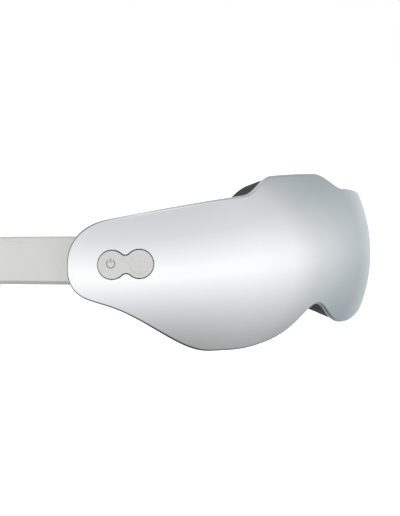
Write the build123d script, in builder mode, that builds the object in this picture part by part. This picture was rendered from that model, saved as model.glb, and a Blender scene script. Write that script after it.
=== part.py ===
from build123d import *
from functools import lru_cache
from math import asin, atan2, cos, cosh, pi, radians, sin, sqrt
import os

os.makedirs("parts", exist_ok=True)

# Eye massager mask.  Millimetres, +Z up.  The wearer looks along -Y and the wearer's left is +X.
# The origin is the face seat: the middle of the cushion's face side, between the eyes.

# ---- Front skin: a vertical arc carried along a plan curve that tightens towards the temples ----
SEAT_DEPTH = 26.0        # front of the skin to the face seat
HALF_ARC = 122.0         # skin length from the middle to a temple end
FRONT_TURN = 35.2        # degrees turned at the temple end by the even part of the curve
TEMPLE_TURN = 36.5       # degrees added there by the part that grows with the cube
SKIN_RADIUS = 76.7       # vertical arc
SKIN_MIDDLE = -5.1       # height where the skin stands furthest forward

# ---- Outline of the skin, as heights over the arc length ----
BROW_HEIGHT = 29.2
BROW_FALL = 8.1
BROW_FALL_ARC = 105.0
CREST_RISE = 6.6         # raised part over the nose
CREST_START = 18.0
CREST_END = 40.0
CHEEK_LOW = -36.4
NOTCH_RISE = 14.9        # nose notch
NOTCH_WIDTH = 11.3
CHEEK_RISE = 1.8         # cheek line rises gently, then fast, towards the temple
WING_RISE = 23.0
END_ARC = 18.0           # length of the rounded temple end
END_POWER = 2.5

# ---- Layers, as depths below the skin ----
SHELL = 2.0
SEAL_FRONT = 2.1
SEAL_BACK = 2.85
TRAY_FRONT = 2.9
TRAY_WALL = 1.8
TRAY_INSET = 1.0         # tray edge inside the shell's outline
TRAY_END = 120.5
TRAY_DRAFT = (4.5, 2.5)  # bottom and top edges of the face side inside the front ones
STATION = 4.0            # spacing of cross sections
CUSHION_GAP = 0.3
CUSHION_THICK = 10.5
CUSHION_END = 92.0
CUSHION_INSET = 5.5
EYE_ARC = 36.0           # arc length to the middle of an eye opening
EYE_HEIGHT = -1.5
EYE_OPENING = (50.0, 38.0)
EYE_CORNER = 15.0
AIRBAG = (44.0, 32.0, 4.2)
FILM = (40.0, 28.0, 0.5)
PAD = (46.0, 34.0, 3.6)

# ---- Control key ----
KEY_ARC = -97.6
KEY_HEIGHT = 3.6
KEY_LOBE = 5.4           # lobe radius
KEY_SPAN = 10.8          # between lobe centres
KEY_WAIST = 3.3          # half height of the waist
KEY_PROUD = 1.3
KEY_UNDER = 1.4          # underside of the cap below the skin
KEY_GAP = 0.35
KEY_DISH = 0.5           # depth of the dished lobe
KEY_DISH_RADIUS = 22.0
KEY_PIN = 0.8            # pin radius
KEY_AXIS = 3.2           # depth of the pin
KEY_FOOT = 4.4           # depth of the feet that press the switches
SWITCH_TOP = 4.7
KEY_BOARD = (22.0, 17.0, 1.0)
KEY_BOARD_FRONT = 5.9
RUNNING_GAP = 0.05       # between a shaft and its bore
HAIR = 0.02              # between pieces that rest on each other

# ---- Electronics, air and vibration ----
BOARD = (34.0, 28.0, 1.2)
BOARD_ARC = -50.0
BOARD_HEIGHT = -13.0
BOARD_HOLES = ((-14.5, 11.5), (14.5, 11.5))
CHIPS = ((-6, 4, 7, 7, 1.0), (7, 5, 5, 6, 1.4), (10, -4, 4, 4, 0.9), (-12, -5, 6, 3, 2.0))
BOARD_DEPTH = 12.5
SOCKET = (8.9, 7.3, 3.2)
SOCKET_OUT = 4.4         # socket mouth past the board's edge
BATTERY = (38.0, 26.0, 6.5)
BATTERY_ARC = 50.0
BATTERY_HEIGHT = -8.0
BATTERY_DEPTH = 12.8
PUMP_ARC = -56.0
PUMP_HEIGHT = 12.0
PUMP_DEPTH = 11.2
MOTOR_RADIUS = 6.0
MOTOR_LONG = 16.0
HEAD = (12.6, 13.0, 10.4)
CRANK_SHAFT = 0.75
CRANK_DISC = 3.0
CRANK_OFFSET = 0.8
VALVE = (10.0, 5.6, 12.0)
VALVE_CENTRE = (0.0, -17.6, 10.0)
VALVE_BORE = 1.9
PLUNGER_TRAVEL = 1.2
MANIFOLD = (16.0, 5.2, 7.4)
MANIFOLD_CENTRE = (0.0, -15.3, 19.9)
HOSE = 1.2               # hose radius
PORT = 1.0               # nipple radius
BAG_PORT = (10.0, 10.0)  # airbag inlet, towards the nose and up from the eye's middle
SHAKER_ARC = 82.0
SHAKER_HEIGHT = -13.0
SHAKER_DEPTH = 8.0
SHAKER = 4.0             # vibration motor radius
SHAKER_SHAFT = 0.5
WEIGHT = 3.4
SPEAKER_ARC = 96.0
SPEAKER_HEIGHT = 4.0
SPEAKER_RADIUS = 8.0
SCREW_SPOTS = ((16.0, 27.0), (78.0, 15.5), (26.0, -22.5))
SCREW = 0.9
SCREW_HEAD = (1.9, 0.7)
SCREW_RECESS = 0.75      # head below the face side
SCREW_LONG = 6.5
SCREW_SOCKET = 0.8
BOSS = 2.4

# ---- Strap ----
STRAP_TALL = 20.3
STRAP_THICK = 2.2
STRAP_EDGE = 1.0
STRAP_HEIGHT = 3.2
STRAP_FLARE = 24.0       # degrees outwards from straight back
STRAP_BEND = 20.0        # bend radius into the flare
STRAP_STRAIGHT = 50.0
STRAP_REAR = 142.0       # back of the loop
STRAP_SAG = 10.4         # how far the back of the loop hangs
STRAP_HANDLES = (30.0, 62.0)
PIVOT_BACK = 23.0        # strap hinge axis behind the face seat
PIVOT_SIDE = 85.4        # middle of the strap end's plate
PIVOT_DISC = 6.5
PIVOT_BOSS = 3.2
PIVOT_DEEP = 6.2         # bore in the housing's boss
PIVOT_PIN = 1.6
PIVOT_HEAD = 3.2
END_PLATE = 2.4
END_LONG = 11.0          # from the hinge axis to the band
RING_SIDE = 16.0         # adjuster ring, sideways from the middle
RING_WIDE = 7.0
RING_WIRE = 1.6
TAIL_END = -42.0
TAIL_THICK = 1.6
PATCH_THICK = 0.7
PATCH_TALL = 16.0
LAYER_GAP = 0.3


def blend(value, start, end):
    """0 before start, 1 after end, smooth between."""
    x = min(max((value - start) / (end - start), 0.0), 1.0)
    return x * x * (3 - 2 * x)


def turn(arc):
    """Heading of the plan curve, in radians."""
    u = arc / HALF_ARC
    return radians(FRONT_TURN * u + TEMPLE_TURN * u**3)


@lru_cache(maxsize=None)
def plan_point(arc):
    """Plan position of the skin's frontmost line, by Simpson's rule along the curve."""
    steps = 40
    step = arc / steps
    x = y = 0.0
    for k in range(steps + 1):
        weight = 1 if k in (0, steps) else (4 if k % 2 else 2)
        x += weight * cos(turn(k * step)) * step / 3
        y += weight * sin(turn(k * step)) * step / 3
    return x, y - SEAT_DEPTH


def bulge(height, depth=0.0):
    """Distance of a layer behind the frontmost line; deep layers are flatter."""
    radius = SKIN_RADIUS - min(depth, 3.0) + 3.2 * max(depth - 3.0, 0.0)
    return depth + radius - sqrt(radius**2 - (height - SKIN_MIDDLE) ** 2)


def outline(arc, inset=0.0, crest=CREST_RISE):
    """Lowest and highest height of a layer that stays inset from the skin's edge."""
    a = abs(arc)
    high = BROW_HEIGHT - BROW_FALL * (a / BROW_FALL_ARC) ** 2
    high += crest * (1 - blend(a, CREST_START, CREST_END))
    low = CHEEK_LOW + NOTCH_RISE / cosh(a / NOTCH_WIDTH)
    low += CHEEK_RISE * blend(a, CREST_END, 66) + WING_RISE * blend(a, 60, 113)
    u = max(0.0, (a - (HALF_ARC - END_ARC)) / END_ARC)
    half = (high - low) / 2 * (1 - u**END_POWER) ** (1 / END_POWER)
    middle = (high + low) / 2
    return middle - half + inset, middle + half - inset


def station(arc):
    """Upright plane square to the plan curve: x inwards, y up."""
    x, y = plan_point(arc)
    a = turn(arc)
    return Plane(origin=(x, y, 0), x_dir=(-sin(a), cos(a), 0), z_dir=(cos(a), sin(a), 0))


def skin_plane(arc, height, depth=0.0):
    """Plane touching a layer: x along the curve, y up the skin, z outwards."""
    x, y = plan_point(arc)
    a = turn(arc)
    tilt = asin((height - SKIN_MIDDLE) / SKIN_RADIUS)
    out = Vector(sin(a) * cos(tilt), -cos(a) * cos(tilt), sin(tilt))
    foot = Vector(x, y, height) - Vector(sin(a), -cos(a), 0) * bulge(height)
    return Plane(origin=foot - out * depth, x_dir=(cos(a), sin(a), 0), z_dir=out)


def tray_depth(arc):
    """Depth of the tray's face side below the skin."""
    a = abs(arc)
    return 13 + 7 * blend(a, 8, 30) - 10.5 * blend(a, 82, 104) - 2.5 * blend(a, 108, 122)


def stations(end):
    """Arc lengths of the cross sections, closer together at the rounded temple ends."""
    half = [STATION * k for k in range(int((end - 1) / STATION) + 1)]
    close = [HALF_ARC - END_ARC * cos(radians(x)) for x in range(20, 90, 10)]
    half = [a for a in half if a < close[0] - 1] + [a for a in close if a < end - 0.6] + [end]
    return [-a for a in reversed(half[1:])] + half


def patch_arcs(middle, half):
    """Arc lengths of the cross sections of a short piece of layer."""
    first = int((middle - half) // STATION)
    last = int((middle + half) // STATION) + 1
    return [STATION * k for k in range(first, last + 1)]


def layer(arcs, inset, front, back, rim=0.0, draft=(0.0, 0.0), crest=CREST_RISE):
    """A closed layer of the mask between two depth functions.

    Its rim bulges by rim, and its back is shorter than its front by draft, bottom and top.
    """
    with BuildPart() as made:
        for arc in arcs:
            low, high = outline(arc, inset, crest)
            lift, drop = (min(d, (high - low) / 4) for d in draft)
            ends = ((front(arc), low, high), (back(arc), low + lift, high - drop))
            with BuildSketch(station(arc)):
                with BuildLine():
                    for depth, bottom, top in ends:
                        heights = (bottom, (bottom + top) / 2, top)
                        ThreePointArc(*[(bulge(z, depth), z) for z in heights])
                    for side, height, inner in ((-1, low, low + lift), (1, high, high - drop)):
                        near = (bulge(height, front(arc)), height)
                        far = (bulge(inner, back(arc)), inner)
                        if rim:
                            ThreePointArc(near, ((near[0] + far[0]) / 2, height + side * rim), far)
                        else:
                            Line(near, far)
                make_face()
        loft()
    return made.part


def level(depth):
    """A depth that is the same all along the curve."""
    return lambda arc: depth


def past_tray(depth):
    """A depth counted from the tray's face side."""
    return lambda arc: tray_depth(arc) + depth


def upright_plane(arc, height, depth=0.0):
    """Upright plane square to the plan curve at the skin, and the tray's depth behind it."""
    x, y = plan_point(arc)
    a = turn(arc)
    out = Vector(sin(a), -cos(a), 0)
    skin = bulge(height)
    foot = Vector(x, y, height) - out * (skin + depth)
    plane = Plane(origin=foot, x_dir=(cos(a), sin(a), 0), z_dir=out)
    return plane, bulge(height, tray_depth(arc)) - skin


def eye_plane(side, extra=0.0):
    """Upright plane in front of an eye, pushed inwards by extra: x along the curve, y up."""
    return upright_plane(side * EYE_ARC, EYE_HEIGHT, extra)[0]


def eye_block(side, size, corner):
    """Rounded block through all layers in front of an eye."""
    with BuildPart() as made:
        with BuildSketch(eye_plane(side, 60)):
            RectangleRounded(size[0], size[1], corner)
        extrude(amount=70)
    return made.part


def eye_layer(side, size, corner, front, back):
    """A rounded pad between two depths past the tray, in front of an eye."""
    sheet = layer(patch_arcs(side * EYE_ARC, 27), 0.5, past_tray(front), past_tray(back))
    return eye_block(side, size, corner) & sheet


def key_face(plane, grow=0.0):
    """The two-lobed key outline, grown by a gap."""
    c = KEY_SPAN / 2
    r = KEY_LOBE + grow
    neck = (c**2 + KEY_WAIST**2 - KEY_LOBE**2) / (2 * (KEY_LOBE - KEY_WAIST)) - grow
    h = KEY_WAIST + grow + neck
    tx, ty = c * neck / (r + neck), h * r / (r + neck)
    with BuildSketch(plane) as made:
        with BuildLine():
            ThreePointArc((tx, -ty), (c + r, 0), (tx, ty))
            ThreePointArc((tx, ty), (0, h - neck), (-tx, ty))
            ThreePointArc((-tx, ty), (-c - r, 0), (-tx, -ty))
            ThreePointArc((-tx, -ty), (0, neck - h), (tx, -ty))
        make_face()
    return made.sketch


def key_block(depth_from, depth_to, grow=0.0):
    """A straight block with the key's outline between two depths."""
    with BuildPart() as made:
        add(key_face(KEY.offset(-depth_to), grow))
        extrude(amount=depth_to - depth_from, dir=KEY.z_dir)
    return made.part


def block(plane, x, y, z, size):
    """A box on a plane: x and y are its middle, z its lowest side, size its three sides."""
    with BuildPart() as made:
        with BuildSketch(plane.offset(z)):
            with Locations((x, y)):
                Rectangle(size[0], size[1])
        extrude(amount=size[2])
    return made.part


def rod(plane, x, y, z, radius, long):
    """A cylinder that stands on a plane."""
    with BuildPart() as made:
        with BuildSketch(plane.offset(z)):
            with Locations((x, y)):
                Circle(radius)
        extrude(amount=long)
    return made.part


def along_x(plane):
    """The plane turned so that it looks along its own x direction, its x being the old y."""
    return Plane(origin=plane.origin, x_dir=plane.y_dir, z_dir=plane.x_dir)


def along_y(plane):
    """The plane turned so that it looks along its own y direction, its x being the old z."""
    return Plane(origin=plane.origin, x_dir=plane.z_dir, z_dir=plane.y_dir)


def strap_height(back):
    """The loop hangs lower towards its back."""
    return STRAP_HEIGHT - STRAP_SAG * blend(back, 70, STRAP_REAR - 8)


def strap_straight():
    """Sections from a hinge to the end of the straight stretch: side, back, heading, height."""
    flare = radians(STRAP_FLARE)
    line = [(PIVOT_SIDE, PIVOT_BACK + END_LONG, 0.0)]
    for k in range(1, 5):
        a = flare * k / 4
        x = PIVOT_SIDE + STRAP_BEND * (1 - cos(a))
        line.append((x, PIVOT_BACK + END_LONG + STRAP_BEND * sin(a), a))
    x0, y0 = line[-1][:2]
    for k in range(1, 5):
        run = STRAP_STRAIGHT * k / 4
        line.append((x0 + run * sin(flare), y0 + run * cos(flare), flare))
    return [(x, y, a, strap_height(y)) for x, y, a in line]


def strap_curve(u):
    """Section of the curve from the straight stretch, at 0, to the back of the loop, at 1."""
    x0, y0, flare = strap_straight()[-1][:3]
    p0 = Vector(x0, y0)
    p1 = p0 + Vector(sin(flare), cos(flare)) * STRAP_HANDLES[0]
    p3 = Vector(0, STRAP_REAR)
    p2 = p3 + Vector(STRAP_HANDLES[1], 0)
    v = 1 - u
    at = p0 * v**3 + p1 * 3 * v * v * u + p2 * 3 * v * u * u + p3 * u**3
    way = (p1 - p0) * v * v + (p2 - p1) * 2 * v * u + (p3 - p2) * u * u
    return at.X, at.Y, atan2(way.X, way.Y), strap_height(at.Y)


def mirrored(section):
    """The same place on the right half of the loop."""
    x, y, a, z = section
    return -x, y, -pi - a, z


def rear(x):
    """Section of the loop's back at a sideways place."""
    low, high = 0.4, 1.0
    for _ in range(40):
        middle = (low + high) / 2
        if strap_curve(middle)[0] > abs(x):
            low = middle
        else:
            high = middle
    found = strap_curve(low)
    return found if x >= 0 else mirrored(found)


def rear_run(start, end):
    """Sections of the loop's back between two sideways places."""
    count = max(2, int(abs(end - start) / 6))
    return [rear(start + (end - start) * k / count) for k in range(count + 1)]


def strap_run(sections, tall, thick, out=0.0):
    """Lofts a flat band through upright sections, shifted outwards by out."""
    with BuildPart() as made:
        for x, y, a, height in sections:
            way = Vector(sin(a), cos(a), 0)
            side = Vector(cos(a), -sin(a), 0)
            origin = Vector(x, y, height) + side * out
            with BuildSketch(Plane(origin=origin, x_dir=side, z_dir=way)):
                RectangleRounded(thick, tall, min(STRAP_EDGE, thick * 0.45))
        loft()
    return made.part


KEY = skin_plane(KEY_ARC, KEY_HEIGHT)
KEY_ROD = along_y(KEY)
MAIN = skin_plane(BOARD_ARC, BOARD_HEIGHT, BOARD_DEPTH)
CELL = skin_plane(BATTERY_ARC, BATTERY_HEIGHT, BATTERY_DEPTH)
PUMP = skin_plane(PUMP_ARC, PUMP_HEIGHT, PUMP_DEPTH)
PUMP_ROD = along_x(PUMP)
SPEAK = skin_plane(SPEAKER_ARC, SPEAKER_HEIGHT, 0)
SCREW_PLANES = [upright_plane(side * arc, z) for arc, z in SCREW_SPOTS for side in (-1, 1)]
SIDES = (("right", -1), ("left", 1))


def finish(name, made):
    """Labels a finished piece and writes it."""
    made.label = name
    export_step(made, f"parts/{name}.step")


def pivot_plane(side, out):
    """Plane square to the strap's hinge axis, out from the middle of a strap end's plate."""
    origin = (side * (PIVOT_SIDE + out), PIVOT_BACK, STRAP_HEIGHT)
    return Plane(origin=origin, x_dir=(0, 1, 0), z_dir=(side, 0, 0))


# ---- Front shell: mirror skin with the key opening and screw bosses ----
shell_skin = layer(stations(HALF_ARC - 0.4), 0.9, level(0.0), level(SHELL), rim=0.9)
key_opening = key_block(-4, 6, KEY_GAP)
with BuildPart() as front_shell:
    add(shell_skin)
    for plane, deep in SCREW_PLANES:
        with BuildSketch(plane.offset(-SHELL + 0.5)):
            Circle(BOSS)
        extrude(amount=-(deep - TRAY_WALL - 1.0 - SHELL + 0.5))
    for plane, deep in SCREW_PLANES:
        with BuildSketch(plane.offset(-SHELL - 1)):
            Circle(SCREW)
        extrude(amount=-deep, mode=Mode.SUBTRACT)
    add(key_opening, mode=Mode.SUBTRACT)
finish("front_shell", front_shell.part)

# ---- Rear housing: the tray on the face side ----
tray_block = layer(stations(TRAY_END), TRAY_INSET, level(TRAY_FRONT), tray_depth, draft=TRAY_DRAFT)
tray_cavity = layer(
    stations(TRAY_END - TRAY_WALL),
    TRAY_INSET + TRAY_WALL,
    level(SHELL - 1),
    past_tray(-TRAY_WALL),
    draft=TRAY_DRAFT,
)
socket_slot = block(MAIN, 0, -20, -0.1, (SOCKET[0] + 0.4, 14, SOCKET[2] + 0.4))
with BuildPart() as rear_housing:
    add(tray_block)
    add(tray_cavity, mode=Mode.SUBTRACT)
    for plane, deep in SCREW_PLANES:
        with BuildSketch(plane.offset(-deep - 4)):
            Circle(SCREW + 0.2)
        extrude(amount=8, mode=Mode.SUBTRACT)
        with BuildSketch(plane.offset(-deep - 4)):
            Circle(SCREW_HEAD[0] + 0.2)
        extrude(amount=4 + SCREW_RECESS + SCREW_HEAD[1], mode=Mode.SUBTRACT)
    for name, side in SIDES:
        with BuildSketch(eye_plane(side, 30)):
            with Locations((-side * BAG_PORT[0], BAG_PORT[1])):
                Circle(HOSE + 0.2)
        extrude(amount=14, mode=Mode.SUBTRACT)
    with BuildSketch(SPEAK.offset(-14)):
        with GridLocations(2.6, 2.6, 3, 3):
            Circle(0.6)
    extrude(amount=8, mode=Mode.SUBTRACT)
    for name, side in SIDES:
        with BuildSketch(pivot_plane(side, END_PLATE / 2 + 0.3)):
            Circle(PIVOT_BOSS)
        extrude(amount=7.2)
    for name, side in SIDES:
        with BuildSketch(pivot_plane(side, 0)):
            Circle(PIVOT_PIN)
        extrude(amount=END_PLATE / 2 + 0.3 + PIVOT_DEEP, mode=Mode.SUBTRACT)
    add(socket_slot, mode=Mode.SUBTRACT)
finish("rear_housing", rear_housing.part)

# ---- Seal between shell and housing ----
seal_sheet = layer(stations(TRAY_END), TRAY_INSET, level(SEAL_FRONT), level(SEAL_BACK))
with BuildPart() as housing_seal:
    add(seal_sheet)
    add(tray_cavity, mode=Mode.SUBTRACT)
finish("housing_seal", housing_seal.part)

# ---- Face cushion: one soft pad with two eye openings ----
cushion_sheet = layer(
    stations(CUSHION_END),
    CUSHION_INSET,
    lambda arc: tray_depth(arc) + CUSHION_GAP + 1.2 * blend(abs(arc), 68, CUSHION_END),
    lambda arc: tray_depth(arc) + CUSHION_GAP + CUSHION_THICK - 6 * blend(abs(arc), 66, CUSHION_END),
    crest=0.0,
)
with BuildPart() as face_cushion:
    add(cushion_sheet)
    for name, side in SIDES:
        with BuildSketch(eye_plane(side, 60)):
            RectangleRounded(*EYE_OPENING, EYE_CORNER)
        extrude(amount=70, mode=Mode.SUBTRACT)
finish("face_cushion", face_cushion.part)

# ---- Airbags, warming films and pads in front of the eyes ----
for name, side in SIDES:
    bag_back = CUSHION_GAP + AIRBAG[2]
    film_back = bag_back + LAYER_GAP + FILM[2]
    pad_back = film_back + HAIR + PAD[2]
    airbag = eye_layer(side, AIRBAG, EYE_CORNER - 3, CUSHION_GAP, bag_back)
    film = eye_layer(side, FILM, EYE_CORNER - 5, bag_back + LAYER_GAP, film_back)
    pad = eye_layer(side, PAD, EYE_CORNER - 2, film_back + HAIR, pad_back)
    with BuildPart() as eye_airbag:
        add(airbag)
    finish(f"{name}_airbag", eye_airbag.part)
    with BuildPart() as heating_film:
        add(film)
    finish(f"{name}_heating_film", heating_film.part)
    with BuildPart() as massage_pad:
        add(pad)
    finish(f"{name}_massage_pad", massage_pad.part)

# ---- Control key: a curved two-lobed cap on a rib that rocks on a pin ----
key_skin = layer(patch_arcs(KEY_ARC, 16), 1.0, level(-KEY_PROUD), level(KEY_UNDER))
key_cap = key_block(-6, 5) & key_skin
dish_depth = KEY_DISH - KEY_PROUD - KEY_DISH_RADIUS
dish_centre = skin_plane(KEY_ARC + KEY_SPAN / 2, KEY_HEIGHT, dish_depth).origin
key_dish = Pos(dish_centre) * Sphere(KEY_DISH_RADIUS)
with BuildPart() as control_key:
    add(key_cap)
    for x in (-KEY_SPAN / 2, KEY_SPAN / 2):
        with BuildSketch(KEY.offset(-KEY_FOOT)):
            with Locations((x, 0)):
                Circle(1.3)
        extrude(amount=KEY_FOOT - KEY_UNDER + 0.7)
    with BuildSketch(KEY.offset(-KEY_AXIS - 1.5)):
        Rectangle(3, 2 * KEY_WAIST - 0.6)
    extrude(amount=KEY_AXIS + 1.5 - KEY_UNDER + 0.7)
    with BuildSketch(KEY_ROD.offset(-8)):
        with Locations((-KEY_AXIS, 0)):
            Circle(KEY_PIN + RUNNING_GAP)
    extrude(amount=16, mode=Mode.SUBTRACT)
    add(key_dish, mode=Mode.SUBTRACT)
finish("control_key", control_key.part)

with BuildPart() as key_pivot_pin:
    with BuildSketch(KEY_ROD.offset(-5.4)):
        with Locations((-KEY_AXIS, 0)):
            Circle(KEY_PIN)
    extrude(amount=10.8)
finish("key_pivot_pin", key_pivot_pin.part)

# ---- Key frame: a curved plate behind the shell with two ears for the pin ----
frame_sheet = layer(patch_arcs(KEY_ARC, 18), 1.0, level(SHELL + 0.25), level(SHELL + 1.35))
frame_block = block(KEY, 0, 0, -12, (27, 17, 14)) & frame_sheet
frame_opening = key_block(-4, 8, 1.0)
with BuildPart() as key_frame:
    add(frame_block)
    add(frame_opening, mode=Mode.SUBTRACT)
    for side in (-1, 1):
        with BuildSketch(KEY.offset(-KEY_AXIS - 1.5)):
            with Locations((0, side * 4.75)):
                Rectangle(3.6, 2.0)
        extrude(amount=2.4)
        with BuildSketch(KEY.offset(-KEY_BOARD_FRONT)):
            with Locations((side * 8.0, -side * 7.0)):
                Circle(1.4)
        extrude(amount=KEY_BOARD_FRONT - SHELL - 1.2)
        with BuildSketch(KEY.offset(-KEY_BOARD_FRONT)):
            with Locations((side * 8.0, -side * 7.0)):
                Circle(0.7)
        extrude(amount=2.2, mode=Mode.SUBTRACT)
    with BuildSketch(KEY_ROD.offset(-5.4)):
        with Locations((-KEY_AXIS, 0)):
            Circle(KEY_PIN)
    extrude(amount=10.8, mode=Mode.SUBTRACT)
finish("key_frame", key_frame.part)

# ---- Key board and its two switches ----
with BuildPart() as key_board:
    with BuildSketch(KEY.offset(-KEY_BOARD_FRONT - KEY_BOARD[2])):
        Rectangle(KEY_BOARD[0], KEY_BOARD[1])
        with Locations((8.0, -7.0), (-8.0, 7.0)):
            Circle(0.7, mode=Mode.SUBTRACT)
    extrude(amount=KEY_BOARD[2])
finish("key_board", key_board.part)

for name, x in (("power_switch", -KEY_SPAN / 2), ("mode_switch", KEY_SPAN / 2)):
    with BuildPart() as switch:
        with BuildSketch(KEY.offset(-KEY_BOARD_FRONT)):
            with Locations((x, 0)):
                RectangleRounded(4.4, 4.4, 0.4)
        extrude(amount=0.7)
        with BuildSketch(KEY.offset(-KEY_BOARD_FRONT)):
            with Locations((x, 0)):
                Circle(1.1)
        extrude(amount=KEY_BOARD_FRONT - SWITCH_TOP)
    finish(name, switch.part)

# ---- Main board, its chips and the charge socket ----
with BuildPart() as main_board:
    with BuildSketch(MAIN.offset(-BOARD[2])):
        Rectangle(BOARD[0], BOARD[1])
        with Locations(*BOARD_HOLES):
            Circle(1.0, mode=Mode.SUBTRACT)
    extrude(amount=BOARD[2])
finish("main_board", main_board.part)

with BuildPart() as board_chips:
    for x, y, wide, tall, thick in CHIPS:
        with BuildSketch(MAIN.offset(HAIR)):
            with Locations((x, y)):
                Rectangle(wide, tall)
        extrude(amount=thick)
finish("board_chips", board_chips.part)

with BuildPart() as charge_socket:
    with BuildSketch(along_y(MAIN).offset(-BOARD[1] / 2 - SOCKET_OUT)):
        with Locations((SOCKET[2] / 2 + HAIR, 0)):
            RectangleRounded(SOCKET[2], SOCKET[0], 1.3)
            RectangleRounded(SOCKET[2] - 0.7, SOCKET[0] - 0.7, 1.0, mode=Mode.SUBTRACT)
    extrude(amount=SOCKET[1])
    with BuildSketch(along_y(MAIN).offset(-BOARD[1] / 2 - SOCKET_OUT + SOCKET[1] - 0.8)):
        with Locations((SOCKET[2] / 2 + HAIR, 0)):
            RectangleRounded(SOCKET[2] - 0.4, SOCKET[0] - 0.4, 1.0)
    extrude(amount=0.8)
    with BuildSketch(along_y(MAIN).offset(-BOARD[1] / 2 - 3.0)):
        with Locations((SOCKET[2] / 2 + HAIR, 0)):
            Rectangle(0.7, SOCKET[0] - 2.4)
    extrude(amount=SOCKET[1] - 1.0)
finish("charge_socket", charge_socket.part)

with BuildPart() as board_screws:
    for x, y in BOARD_HOLES:
        with BuildSketch(MAIN.offset(-BOARD[2] - 3.0)):
            with Locations((x, y)):
                Circle(0.9)
        extrude(amount=3.0 + BOARD[2])
        with BuildSketch(MAIN):
            with Locations((x, y)):
                Circle(1.7)
        extrude(amount=1.0)
    for side in (-1, 1):
        with BuildSketch(KEY.offset(-KEY_BOARD_FRONT - KEY_BOARD[2])):
            with Locations((side * 8.0, -side * 7.0)):
                Circle(0.68)
        extrude(amount=KEY_BOARD[2] + 2.0)
        with BuildSketch(KEY.offset(-KEY_BOARD_FRONT - KEY_BOARD[2] - 0.7)):
            with Locations((side * 8.0, -side * 7.0)):
                Circle(1.3)
        extrude(amount=0.7)
finish("board_screws", board_screws.part)

# ---- Battery ----
with BuildPart() as battery:
    with BuildSketch(CELL):
        RectangleRounded(BATTERY[0], BATTERY[1], 1.5)
    extrude(amount=BATTERY[2])
    with BuildSketch(CELL.offset(2.4)):
        with Locations((-BATTERY[0] / 2 - 0.8, 0)):
            Rectangle(2.4, BATTERY[1] - 8)
    extrude(amount=1.2)
finish("battery", battery.part)

# ---- Air pump: motor, crank and head ----
with BuildPart() as pump_motor:
    with BuildSketch(PUMP_ROD.offset(-1 - MOTOR_LONG)):
        Circle(MOTOR_RADIUS)
    extrude(amount=MOTOR_LONG)
    with BuildSketch(PUMP_ROD.offset(-1 - 6)):
        Circle(CRANK_SHAFT + RUNNING_GAP)
    extrude(amount=6, mode=Mode.SUBTRACT)
finish("pump_motor", pump_motor.part)

HEAD_START = -0.9
with BuildPart() as pump_head:
    with BuildSketch(PUMP_ROD.offset(HEAD_START)):
        RectangleRounded(HEAD[1], HEAD[2], 1.5)
    extrude(amount=HEAD[0])
    with BuildSketch(PUMP_ROD.offset(HEAD_START)):
        Circle(CRANK_SHAFT + RUNNING_GAP)
    extrude(amount=2.4, mode=Mode.SUBTRACT)
    with BuildSketch(PUMP_ROD.offset(HEAD_START + 2.0)):
        Circle(CRANK_DISC + CRANK_OFFSET + 0.5)
    extrude(amount=6.0, mode=Mode.SUBTRACT)
    with BuildSketch(PUMP_ROD.offset(HEAD_START + HEAD[0])):
        Circle(PORT)
    extrude(amount=3.0)
finish("pump_head", pump_head.part)

with BuildPart() as pump_crank:
    with BuildSketch(PUMP_ROD.offset(-6.5)):
        Circle(CRANK_SHAFT)
    extrude(amount=9.0)
    with BuildSketch(PUMP_ROD.offset(2.0)):
        with Locations((CRANK_OFFSET, 0)):
            Circle(CRANK_DISC)
    extrude(amount=2.5)
finish("pump_crank", pump_crank.part)

# ---- Air manifold, release valve and hoses ----
manifold_plane = Plane.XY.offset(MANIFOLD_CENTRE[2] - MANIFOLD[2] / 2)
PORT_HEIGHTS = (MANIFOLD_CENTRE[2] + 1.9, MANIFOLD_CENTRE[2] - 1.9)
PORTS = (
    (-1, PORT_HEIGHTS[0]),
    (-1, PORT_HEIGHTS[1]),
    (1, PORT_HEIGHTS[0]),
)
with BuildPart() as air_manifold:
    with BuildSketch(manifold_plane):
        with Locations(MANIFOLD_CENTRE[:2]):
            RectangleRounded(MANIFOLD[0], MANIFOLD[1], 1.0)
    extrude(amount=MANIFOLD[2])
    for side, height in PORTS:
        with BuildSketch(Plane(origin=(side * 7.0, MANIFOLD_CENTRE[1], height), z_dir=(side, 0, 0))):
            Circle(PORT)
        extrude(amount=4.0)
finish("air_manifold", air_manifold.part)

VALVE_LOW = VALVE_CENTRE[2] - VALVE[2] / 2
with BuildPart() as valve_body:
    with BuildSketch(Plane.XY.offset(VALVE_LOW)):
        with Locations(VALVE_CENTRE[:2]):
            RectangleRounded(VALVE[0], VALVE[1], 0.8)
    extrude(amount=VALVE[2])
    with BuildSketch(Plane.XY.offset(VALVE_LOW + 1.2)):
        with Locations(VALVE_CENTRE[:2]):
            Circle(VALVE_BORE)
    extrude(amount=VALVE[2] - 2.4, mode=Mode.SUBTRACT)
finish("valve_body", valve_body.part)

PLUNGER_LOW = VALVE_LOW + 5.6
with BuildPart() as valve_plunger:
    with BuildSketch(Plane.XY.offset(PLUNGER_LOW)):
        with Locations(VALVE_CENTRE[:2]):
            Circle(VALVE_BORE - RUNNING_GAP)
    extrude(amount=3.8)
finish("valve_plunger", valve_plunger.part)

SPRING_LONG = PLUNGER_LOW - VALVE_LOW - 1.2 - 0.9
spring_foot = (VALVE_CENTRE[0], VALVE_CENTRE[1], VALVE_LOW + 1.2 + 0.45)
with BuildPart() as valve_spring:
    with BuildLine(Plane(origin=spring_foot)):
        coil = Helix(pitch=SPRING_LONG / 4, height=SPRING_LONG, radius=1.3)
    with BuildSketch(Plane(origin=coil @ 0, z_dir=coil % 0)):
        Circle(0.25)
    sweep(is_frenet=True)
finish("valve_spring", valve_spring.part)


def chamber_point(arc, height, depth):
    """A point inside the chamber."""
    return skin_plane(arc, height, depth).origin


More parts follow.
